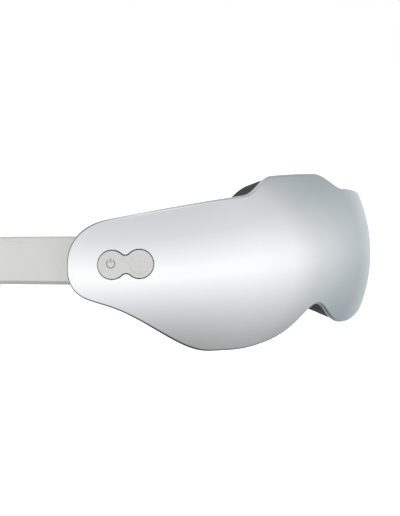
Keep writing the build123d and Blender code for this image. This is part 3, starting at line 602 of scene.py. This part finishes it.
def make_shell():
    """The mirror shell as one closed mesh, with exact normals over its front."""
    points = []
    faces, outer, ring, angles = shell_sheet(points, 0.0, EDGE)
    front_count = len(points)
    back_faces, back_outer, back_ring, _ = shell_sheet(points, SHELL, EDGE)
    faces += back_faces
    last = len(COLUMNS) - 1
    loop = [(k, False) for k in range(last + 1)]
    steps = 10
    before = outer
    for step in range(1, steps):
        angle = pi * step / steps
        inset = EDGE * (1 - sin(angle))
        depth = EDGE * (1 - cos(angle))
        now = []
        for k, top in loop:
            now.append(len(points))
            points.append(rim_point(k, top, inset, depth))
        for side in (last, 0):
            if side == 0:
                for k in range(last, -1, -1):
                    now.append(len(points))
                    points.append(rim_point(k, True, inset, depth))
            for row in range(1, ROWS):
                share = row / ROWS if side == last else 1 - row / ROWS
                low = edge_point(side, False) - EDGE_OUT[side, False] * inset
                high = edge_point(side, True) - EDGE_OUT[side, True] * inset
                at = low.lerp(high, share)
                now.append(len(points))
                points.append(inner_point(at.x, at.y, depth))
        faces += ring_faces(before, now)
        before = now
    faces += ring_faces(before, back_outer)
    before = ring
    for step in range(1, 6):
        angle = pi / 2 * step / 5
        grow = KEY_GAP + ROLL * (1 - sin(angle))
        depth = ROLL * (1 - cos(angle)) if step < 5 else SHELL - ROLL
        now = []
        for direction in angles:
            reach = key_radius(direction, grow)
            now.append(len(points))
            points.append(
                inner_point(KEY_ARC + cos(direction) * reach, KEY_HEIGHT + sin(direction) * reach, depth)
            )
        faces += ring_faces(before, now)
        before = now
    faces += ring_faces(before, back_ring)
    shell = new_piece("mirror_shell", points, faces, MIRROR)
    normals = [v.normal.copy() for v in shell.data.vertices]
    for k in range(front_count):
        normals[k] = exact_normal(points[k])
    shell.data.normals_split_custom_set_from_vertices(normals)
    return settle(shell, "mask", "mirror_shell", "front_shell")


ARC_TABLE = [(a / 2, *plan_point(a / 2)) for a in range(-250, 251)]


def exact_normal(point):
    """Normal of the skin at a point on it."""
    def miss(entry):
        a = turn(entry[0])
        return abs((point[0] - entry[1]) * cos(a) + (point[1] - entry[2]) * sin(a))
    near = min(ARC_TABLE, key=miss)
    a = turn(near[0])
    along = (point[0] - near[1]) * cos(a) + (point[1] - near[2]) * sin(a)
    return skin_normal(near[0] + along, point[2])


make_shell()

# ---- Control key: crowned cap with a dished lobe and a power symbol ----
KEY_AROUND = 160
KEY_STEPS = 34
KEY_ROUND = 0.4
DISH_EDGE = (3.3, 4.7)
DISH_DEPTH = 0.45


def key_top(x, y):
    """Height of the key's face above the skin."""
    away = hypot(x - KEY_SPAN / 2, y)
    return KEY_PROUD - DISH_DEPTH * (1 - blend(away, *DISH_EDGE))


def on_key(x, y, rise):
    """A point over the key, in its own flat coordinates."""
    arc, height = KEY_ARC + x, KEY_HEIGHT + y
    return inner_point(arc, height, 0.0) + skin_normal(arc, height) * rise


def make_key():
    """The cap as polar rings: face, rounded edge, side wall and closed underside."""
    points = [on_key(0, 0, key_top(0, 0))]
    faces = []
    rings = []
    profile = [(s / KEY_STEPS, 0.0) for s in range(1, KEY_STEPS + 1)]
    profile += [(1.0, -pi / 2 * s / 6) for s in range(1, 7)]
    for share, roll in profile + [(1.0, None), (0.5, None)]:
        ring = []
        for k in range(KEY_AROUND):
            angle = 2 * pi * k / KEY_AROUND
            reach = key_radius(angle) - KEY_ROUND
            if roll is None:
                reach = (reach + KEY_ROUND) * share
                rise = -KEY_UNDER
            else:
                reach = reach * share + KEY_ROUND * sin(-roll)
                x, y = cos(angle) * reach, sin(angle) * reach
                rise = key_top(x, y) - KEY_ROUND * (1 - cos(roll))
            ring.append(len(points))
            points.append(on_key(cos(angle) * reach, sin(angle) * reach, rise))
        rings.append(ring)
    faces += [(0, rings[0][k], rings[0][(k + 1) % KEY_AROUND]) for k in range(KEY_AROUND)]
    for first, second in zip(rings, rings[1:]):
        faces += ring_faces(first, second)
    faces.append(tuple(rings[-1]))
    cap = new_piece("key_cap", points, faces, KEYS)
    return settle(cap, "key", "key_plastic", "control_key")


SYMBOL_RADIUS = 1.55
SYMBOL_LINE = 0.22
SYMBOL_GAP = 34          # degrees each side of the top
SYMBOL_RISE = 0.015
SYMBOL_PLACE = (-KEY_SPAN / 2 - 0.3, 0.35)


def ribbon(name, line, material):
    """A thin printed line on the key, along flat points."""
    points = []
    for k, at in enumerate(line):
        before, after = line[max(k - 1, 0)], line[min(k + 1, len(line) - 1)]
        way = (after - before).normalized()
        side = Vector((-way.y, way.x)) * SYMBOL_LINE
        for flat in (at - side, at + side):
            x, y = flat.x + SYMBOL_PLACE[0], flat.y + SYMBOL_PLACE[1]
            for rise in (SYMBOL_RISE, -0.1):
                points.append(on_key(x, y, key_top(x, y) + rise))
    order = (0, 1, 3, 2)
    ordered = [points[4 * k + n] for k in range(len(line)) for n in order]
    return new_piece(name, ordered, sweep_faces(len(line), 4), material)


make_key()
sweep = 360 - 2 * SYMBOL_GAP
arc_line = []
for k in range(41):
    angle = radians(90 + SYMBOL_GAP + sweep * k / 40)
    arc_line.append(Vector((cos(angle), sin(angle))) * SYMBOL_RADIUS)
settle(ribbon("symbol_ring", arc_line, MARK), "key", "key_plastic")
bar_line = [Vector((0, 0.5 + 1.55 * k / 6)) for k in range(7)]
settle(ribbon("symbol_bar", bar_line, MARK), "key", "key_plastic")


# ---- Valve spring: a copy of the CAD spring ----
coil = bpy.data.objects.new("valve_coil", NODES["valve_spring"].data.copy())
bpy.context.scene.collection.objects.link(coil)
settle(coil, "mask", "steel", "valve_spring")
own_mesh(coil)


# ---- Soft goods: cloth pressure on a remeshed copy of the CAD solid ----
def remeshed(node, name, voxel, shrink):
    """A remeshed copy of a CAD solid, a little slimmer than the solid."""
    mesh = NODES[node].data.copy()
    piece = bpy.data.objects.new(name, mesh)
    bpy.context.scene.collection.objects.link(piece)
    remesh = piece.modifiers.new("Remesh", "REMESH")
    remesh.mode = "VOXEL"
    remesh.voxel_size = voxel * MM
    smooth = piece.modifiers.new("Smooth", "SMOOTH")
    smooth.iterations = 3
    graph = bpy.context.evaluated_depsgraph_get()
    piece.data = bpy.data.meshes.new_from_object(piece.evaluated_get(graph))
    piece.modifiers.clear()
    for vertex, normal in zip(piece.data.vertices, [v.normal.copy() for v in piece.data.vertices]):
        vertex.co -= normal * shrink * MM
    return piece


def inflate(piece, pressure, cap):
    """Cloth under pressure for 20 frames; no point moves further than cap."""
    scene = bpy.context.scene
    rest = [v.co.copy() for v in piece.data.vertices]
    cloth = piece.modifiers.new("Cloth", "CLOTH")
    cloth.settings.use_pressure = True
    cloth.settings.uniform_pressure_force = pressure
    cloth.settings.effector_weights.gravity = 0
    cloth.point_cache.frame_start = 1
    cloth.point_cache.frame_end = 20
    for number in range(1, 21):
        scene.frame_set(number)
    graph = bpy.context.evaluated_depsgraph_get()
    moved = bpy.data.meshes.new_from_object(piece.evaluated_get(graph))
    piece.modifiers.clear()
    scene.frame_set(1)
    for vertex, start, now in zip(piece.data.vertices, rest, moved.vertices):
        shift = now.co - start
        if shift.length > cap * MM:
            shift *= cap * MM / shift.length
        vertex.co = start + shift


def soft_copy(node, name, voxel, material, shrink=0.8, pressure=4, cap=1.3):
    """A swollen, smooth soft piece that stands for a CAD solid."""
    piece = remeshed(node, name, voxel, shrink)
    inflate(piece, pressure, cap)
    smooth = piece.modifiers.new("Smooth", "SMOOTH")
    smooth.iterations = 2
    piece.modifiers.new("Subdivision", "SUBSURF").render_levels = 1
    graph = bpy.context.evaluated_depsgraph_get()
    piece.data = bpy.data.meshes.new_from_object(piece.evaluated_get(graph))
    piece.modifiers.clear()
    piece.data.materials.clear()
    piece.data.materials.append(material)
    for face in piece.data.polygons:
        face.use_smooth = True
        face.material_index = 0
    return piece


def eye_frame(side):
    """Origin, sideways direction and inward direction of the plane in front of an eye."""
    arc = side * EYE_ARC
    x, y = plan_point(arc)
    a = turn(arc)
    inward = Vector((-sin(a), cos(a), 0))
    return Vector((x, y, 0)) + inward * bulge(0), Vector((cos(a), sin(a), 0)), inward


def rounded_loop(wide, tall, corner, count=24):
    """Points round a rounded rectangle about its middle."""
    loop = []
    for sx, sy, start in ((1, 1, 0), (-1, 1, 90), (-1, -1, 180), (1, -1, 270)):
        for k in range(count // 4 + 1):
            angle = radians(start + 90 * k / (count // 4))
            x = sx * (wide / 2 - corner) + corner * cos(angle)
            y = sy * (tall / 2 - corner) + corner * sin(angle)
            loop.append(Vector((x, y)))
    dense = []
    for at, after in zip(loop, loop[1:] + loop[:1]):
        pieces = max(1, int((after - at).length / 2))
        dense += [at.lerp(after, k / pieces) for k in range(pieces)]
    return dense


def seam_on(piece, name, points, away, radius, material, sink=0.2):
    """A cord laid on a soft piece where rays from its face side meet it."""
    tree = BVHTree.FromObject(piece, bpy.context.evaluated_depsgraph_get())
    laid = []
    for at, direction in points:
        start = (at + direction * away) * MM
        hit = tree.ray_cast(start, -direction)[0]
        if hit is not None:
            laid.append(hit / MM + direction * (radius - sink))
    return tube(name, laid, radius, material, closed=True)


cushion = soft_copy("face_cushion", "cushion", 2.2, LEATHER, shrink=0.9, cap=1.5)
settle(cushion, "mask", "cushion_leather", "face_cushion")

for name, side in (("right", -1), ("left", 1)):
    origin, across, inward = eye_frame(side)
    seam = []
    for at in rounded_loop(EYE_OPENING[0] + 5, EYE_OPENING[1] + 5, EYE_CORNER + 2):
        seam.append((origin + across * at.x + Vector((0, 0, EYE_HEIGHT + at.y)), inward))
    piping = seam_on(cushion, f"{name}_eye_piping", seam, 60, 0.55, PIPING)
    settle(piping, "mask", "cushion_leather")

    pad = soft_copy(f"{name}_massage_pad", f"{name}_pad", 1.3, PADDING, shrink=0.3, cap=0.9)
    settle(pad, f"{name}_pad", "pad_fabric", f"{name}_massage_pad")
    seam = []
    for at in rounded_loop(PAD[0] - 7, PAD[1] - 7, EYE_CORNER - 5):
        seam.append((origin + across * at.x + Vector((0, 0, EYE_HEIGHT + at.y)), inward))
    stitching = seam_on(pad, f"{name}_pad_seam", seam, 60, 0.28, PIPING, 0.2)
    settle(stitching, f"{name}_pad", "pad_fabric")

    bag = soft_copy(f"{name}_airbag", f"{name}_air_cell", 1.4, BLADDER, shrink=0.5, cap=0.5)
    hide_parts(f"{name}_airbag")
    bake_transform(bag)


# ---- Strap: woven bands, sewn folds round the ring, and the fold-back tail ----
def strap_height(back):
    """The loop hangs lower towards its back."""
    return STRAP_HEIGHT - STRAP_SAG * blend(back, 70, STRAP_REAR - 8)


def strap_curve(u):
    """Section of the loop from the end of the straight stretch, at 0, to its back, at 1."""
    flare = radians(STRAP_FLARE)
    x0 = PIVOT_SIDE + STRAP_BEND * (1 - cos(flare)) + STRAP_STRAIGHT * sin(flare)
    y0 = PIVOT_BACK + END_LONG + STRAP_BEND * sin(flare) + STRAP_STRAIGHT * cos(flare)
    p0 = Vector((x0, y0))
    p1 = p0 + Vector((sin(flare), cos(flare))) * STRAP_HANDLES[0]
    p3 = Vector((0, STRAP_REAR))
    p2 = p3 + Vector((STRAP_HANDLES[1], 0))
    v = 1 - u
    at = p0 * v**3 + p1 * 3 * v * v * u + p2 * 3 * v * u * u + p3 * u**3
    way = (p1 - p0) * v * v + (p2 - p1) * 2 * v * u + (p3 - p2) * u * u
    return at.x, at.y, atan2(way.x, way.y), strap_height(at.y)


def strap_sections():
    """Sections of the left half from the hinge to the middle of the back: side, back, heading, height."""
    flare = radians(STRAP_FLARE)
    line = []
    for k in range(9):
        a = flare * k / 8
        x = PIVOT_SIDE + STRAP_BEND * (1 - cos(a))
        line.append((x, PIVOT_BACK + END_LONG + STRAP_BEND * sin(a), a))
    x0, y0 = line[-1][:2]
    for k in range(1, 21):
        run = STRAP_STRAIGHT * k / 20
        line.append((x0 + run * sin(flare), y0 + run * cos(flare), flare))
    line = [(x, y, a, strap_height(y)) for x, y, a in line]
    return line + [strap_curve(k / 80) for k in range(1, 81)]


HALF_LOOP = strap_sections()
WHOLE_LOOP = HALF_LOOP[:-1] + [(-x, y, -pi - a, z) for x, y, a, z in reversed(HALF_LOOP)]
REAR = [at for at in WHOLE_LOOP if at[1] > 100]


def rear(x):
    """Section of the loop's back at a sideways place, between the two nearest ones."""
    for before, after in zip(REAR, REAR[1:]):
        if before[0] >= x >= after[0]:
            share = (before[0] - x) / (before[0] - after[0])
            angles = [before[2], after[2]]
            if abs(angles[1] - angles[0]) > pi:
                angles[1] += 2 * pi
            angle = angles[0] + (angles[1] - angles[0]) * share
            return (
                x,
                before[1] + (after[1] - before[1]) * share,
                angle,
                before[3] + (after[3] - before[3]) * share,
            )
    raise ValueError(x)


HEM = 1.7                # hem height
HEM_GROOVE = 0.16        # depth of the groove above a hem
GROOVE_WIDE = 0.45
CROWN = 0.08             # webbing thicker in its middle by this


def strap_profile(tall, thick):
    """Closed outline of the webbing's section: rounded edges and a sewn groove above each hem."""
    half = tall / 2
    edge = thick / 2
    side = []
    steps = 44
    for k in range(steps + 1):
        s = -half + edge + (tall - 2 * edge) * k / steps
        groove = max(0.0, 1 - abs(abs(s) - (half - HEM)) / GROOVE_WIDE)
        crown = CROWN * (1 - (s / half) ** 2)
        side.append((edge - HEM_GROOVE * groove - CROWN + crown, s))
    cap = []
    for degrees_round in range(15, 180, 15):
        a = radians(degrees_round)
        cap.append((edge * cos(a) * 0.96, half - edge + edge * sin(a)))
    other = [(-t, s) for t, s in reversed(side)]
    floor = [(-t, -s) for t, s in cap]
    return side + cap + other + floor


def strip(name, sections, tall, thick, out, material):
    """A band of webbing through upright sections, with UVs in millimetres along and across it."""
    profile = strap_profile(tall, thick)
    count = len(profile)
    points = []
    runs = []
    run = 0.0
    for k, (x, y, a, height) in enumerate(sections):
        if k:
            run += hypot(x - sections[k - 1][0], y - sections[k - 1][1])
        runs.append(run)
        side = Vector((cos(a), -sin(a), 0))
        for t, s in profile:
            points.append(Vector((x, y, height)) + side * (out + t) + Vector((0, 0, s)))
    piece = new_piece(name, points, sweep_faces(len(sections), count), material)
    layer = piece.data.uv_layers.new(name="webbing")
    for loop in piece.data.loops:
        ring, spot = divmod(loop.vertex_index, count)
        layer.data[loop.index].uv = (runs[ring], profile[spot][1])
    return piece, run


STITCH = 2.6             # stitch pitch
STITCH_LONG = 1.7
STITCH_WIDE = 0.22


def stitches(name, sections, heights, outs, pitch=STITCH):
    """Rows of lock stitches along a band: small spindles at heights above its middle."""
    points, faces = [], []
    run = 0.0
    target = pitch
    for before, after in zip(sections, sections[1:]):
        step = hypot(after[0] - before[0], after[1] - before[1])
        while run + step > target:
            share = (target - run) / step
            x, y, z = (before[n] + (after[n] - before[n]) * share for n in (0, 1, 3))
            way = Vector((after[0] - before[0], after[1] - before[1], after[3] - before[3])).normalized()
            side = Vector((way.y, -way.x, 0)).normalized()
            for height in heights:
                for out in outs:
                    centre = Vector((x, y, z + height)) + side * out
                    first = len(points)
                    points.append(centre - way * STITCH_LONG / 2)
                    for spot in (-0.3, 0.3):
                        for n in range(5):
                            angle = 2 * pi * n / 5
                            off = side * cos(angle) + Vector((0, 0, 1)) * sin(angle)
                            points.append(centre + way * STITCH_LONG * spot + off * STITCH_WIDE)
                    points.append(centre + way * STITCH_LONG / 2)
                    a = [first + 1 + n for n in range(5)]
                    b = [first + 6 + n for n in range(5)]
                    faces += ring_faces(a, b)
                    faces += [(first, a[n], a[(n + 1) % 5]) for n in range(5)]
                    faces += [(first + 11, b[n], b[(n + 1) % 5]) for n in range(5)]
            target += pitch
        run += step
    return new_piece(name, points, faces, THREAD)


FOLD_THICK = 1.1
FOLD_RADIUS = 1.75
FOLD_OUT = 1.25          # bar's middle outside the band's middle
FOLD_STEP = 15           # degrees between sections
FOLD_TAIL = 1.4          # length of each flat step past the fold


def fold_round(name, x, direction, material):
    """The webbing's fold round one bar of the ring, from the band to its sewn-back layer."""
    _, y, a, height = rear(x)
    side = Vector((cos(a), -sin(a), 0))
    way = Vector((sin(a), cos(a), 0)) * direction
    profile = strap_profile(STRAP_TALL - 0.8, FOLD_THICK)
    centre = Vector((x, y, height)) + side * FOLD_OUT
    half_turn = 180 // FOLD_STEP
    points = []
    rings = 0
    for k in range(-4, half_turn + 5):
        angle = radians(max(0, min(k, half_turn)) * FOLD_STEP)
        slide = (min(k, 0) - max(k - half_turn, 0)) * FOLD_TAIL
        middle = centre + way * (sin(angle) * FOLD_RADIUS + slide) - side * cos(angle) * FOLD_RADIUS
        normal = way * sin(angle) - side * cos(angle)
        for t, s in profile:
            points.append(middle + normal * t + Vector((0, 0, s)))
        rings += 1
    count = len(profile)
    piece = new_piece(name, points, sweep_faces(rings, count), material)
    layer = piece.data.uv_layers.new(name="webbing")
    for loop in piece.data.loops:
        ring, spot = divmod(loop.vertex_index, count)
        layer.data[loop.index].uv = (ring, spot)
    return piece


ring_far = RING_SIDE + RING_WIDE
left_run = [at for at in WHOLE_LOOP if at[0] > ring_far + 1.5] + [rear(ring_far + 1.2)]
right_run = [rear(RING_SIDE - 1.2)] + [at for at in WHOLE_LOOP if at[0] < RING_SIDE - 1.5]
for name, sections in (("left", left_run), ("right", right_run)):
    band, run = strip(f"{name}_band", sections, STRAP_TALL, STRAP_THICK, 0.0, WEBBING)
    settle(band, "strap", "strap_fabric", f"{name}_strap_band")
    hem = STRAP_TALL / 2 - HEM
    inner_face = -STRAP_THICK / 2 + CROWN
    rows = stitches(f"{name}_band_stitches", sections, (-hem, hem), (inner_face,))
    settle(rows, "strap", "strap_fabric")

tail_run = [rear(TAIL_START - 0.5 * k) for k in range(int((TAIL_START - TAIL_END) / 0.5) + 1)]
tail, tail_long = strip("tail", tail_run, STRAP_TALL - 0.6, TAIL_THICK, TAIL_OUT, WEBBING)
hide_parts("strap_tail")
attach(tail, "strap_tail")
tail_line = [(x + cos(a) * TAIL_OUT, y - sin(a) * TAIL_OUT, a, z) for x, y, a, z in tail_run]
TAIL_FACE = TAIL_THICK / 2 - 0.06
TAIL_ROW = 8.0           # stitch rows above and below the tail's middle
tail_rows = stitches("tail_stitches", tail_line, (-TAIL_ROW, TAIL_ROW), (-TAIL_FACE, TAIL_FACE))
settle(tail_rows, "strap_tail", "strap_fabric")

settle(fold_round("left_ring_fold", ring_far + 0.2, -1, WEBBING), "strap", "strap_fabric")
settle(fold_round("right_ring_fold", RING_SIDE - 0.2, 1, WEBBING), "strap", "strap_fabric")


# ---- Studio: pale floor, gradient surroundings seen in the mirror, soft lights, camera ----
FLOOR_DROP = 0.30        # metres below the origin
FLOOR_REACH = 40
floor_mesh = bpy.data.meshes.new("floor")
corners = [(x * FLOOR_REACH, y * FLOOR_REACH, -FLOOR_DROP) for x, y in ((-1, -1), (1, -1), (1, 1), (-1, 1))]
floor_mesh.from_pydata(corners, [], [(0, 1, 2, 3)])
floor = bpy.data.objects.new("floor", floor_mesh)
bpy.context.scene.collection.objects.link(floor)
floor_paint, _, _ = shader_of(
    "floor_paint", (0.97, 0.97, 0.97), 0.9, Emission_Color=(1, 1, 1, 1), Emission_Strength=0.8
)
floor_mesh.materials.append(floor_paint)
floor.visible_glossy = False

world = bpy.data.worlds.new("studio")
bpy.context.scene.world = world
world.use_nodes = True
tree = world.node_tree
tree.nodes.clear()
place = tree.nodes.new("ShaderNodeTexCoord")
parts = tree.nodes.new("ShaderNodeSeparateXYZ")
tree.links.new(place.outputs["Generated"], parts.inputs["Vector"])


def math_node(operation, *values):
    """A math node over sockets and numbers."""
    node = tree.nodes.new("ShaderNodeMath")
    node.operation = operation
    for k, value in enumerate(values):
        if isinstance(value, (int, float)):
            node.inputs[k].default_value = value
        else:
            tree.links.new(value, node.inputs[k])
    return node.outputs[0]


def grey(level, blue=0.0):
    """A level of light, a little cooler for blue above 0."""
    return (level * (1 - blue), level, level * (1 + blue * 0.6))


height = math_node("MULTIPLY_ADD", parts.outputs["Z"], 0.5, 0.5)
by_height = between(tree, height, [
    (0.02, grey(0.08)), (0.08, grey(0.28)), (0.16, grey(0.43)), (0.20, grey(0.50, 0.01)),
    (0.24, grey(0.58, 0.02)), (0.33, grey(0.76, 0.02)), (0.42, grey(0.94)),
    (0.47, grey(1.04)), (0.52, grey(1.04)),
    (0.58, grey(0.94)), (0.69, grey(0.76, 0.02)), (0.80, grey(0.68, 0.02)), (1.0, grey(0.86, 0.02)),
])
against_y = math_node("MULTIPLY", parts.outputs["Y"], -1.0)
around = math_node("ARCTAN2", parts.outputs["X"], against_y)
share = math_node("MULTIPLY_ADD", around, 0.5 / pi, 0.5)
by_side = between(tree, share, [
    (0.04, grey(0.05)), (0.14, grey(0.22)), (0.20, grey(0.97)), (0.25, grey(1.0)), (0.58, grey(1.0)),
    (0.625, grey(0.92, 0.01)), (0.66, grey(0.72, 0.04)), (0.70, grey(0.60, 0.06)), (0.74, grey(0.54, 0.08)),
    (0.80, grey(0.64, 0.06)), (0.90, grey(0.85)),
])
both = tree.nodes.new("ShaderNodeMix")
both.data_type = "RGBA"
both.blend_type = "MULTIPLY"
both.inputs["Factor"].default_value = 1.0
tree.links.new(by_height, both.inputs["A"])
tree.links.new(by_side, both.inputs["B"])
seen = tree.nodes.new("ShaderNodeLightPath")
backdrop = tree.nodes.new("ShaderNodeMix")
backdrop.data_type = "RGBA"
tree.links.new(seen.outputs["Is Camera Ray"], backdrop.inputs["Factor"])
tree.links.new(both.outputs["Result"], backdrop.inputs["A"])
backdrop.inputs["B"].default_value = (1, 1, 1, 1)
light = tree.nodes.new("ShaderNodeBackground")
tree.links.new(backdrop.outputs["Result"], light.inputs["Color"])
exit_node = tree.nodes.new("ShaderNodeOutputWorld")
tree.links.new(light.outputs["Background"], exit_node.inputs["Surface"])


def soft_light(name, place, aim, size, watts):
    """A large soft panel that the mirror doesn't show."""
    data = bpy.data.lights.new(name, "AREA")
    data.shape = "DISK"
    data.size = size
    data.energy = watts
    lamp = bpy.data.objects.new(name, data)
    lamp.location = place
    lamp.rotation_euler = (Vector(aim) - Vector(place)).to_track_quat("-Z", "Y").to_euler()
    lamp.visible_glossy = False
    bpy.context.scene.collection.objects.link(lamp)


soft_light("key_light", (-0.9, -0.3, 1.1), (0, 0, 0), 0.9, 9)
soft_light("fill_light", (0.5, 1.0, 0.8), (0, 0.05, 0), 1.0, 5)

LENS = 68.28
CAMERA_PLACE = Vector((-0.35998, -0.26099, 0.04309))
CAMERA_RIGHT = Vector((0.64228, -0.76597, -0.02776))
CAMERA_UP = Vector((0.09398, 0.04276, 0.99466))
CAMERA_FORWARD = Vector((0.76069, 0.64146, -0.09945))
optics = bpy.data.cameras.new("camera")
optics.lens = LENS
optics.sensor_width = 36
optics.sensor_fit = "AUTO"
optics.clip_start = 0.01
camera = bpy.data.objects.new("camera", optics)
axes = Matrix((CAMERA_RIGHT, CAMERA_UP, -CAMERA_FORWARD)).transposed().to_4x4()
camera.matrix_world = Matrix.Translation(CAMERA_PLACE) @ axes
bpy.context.scene.collection.objects.link(camera)
bpy.context.scene.camera = camera
bpy.context.scene.view_settings.view_transform = "Standard"
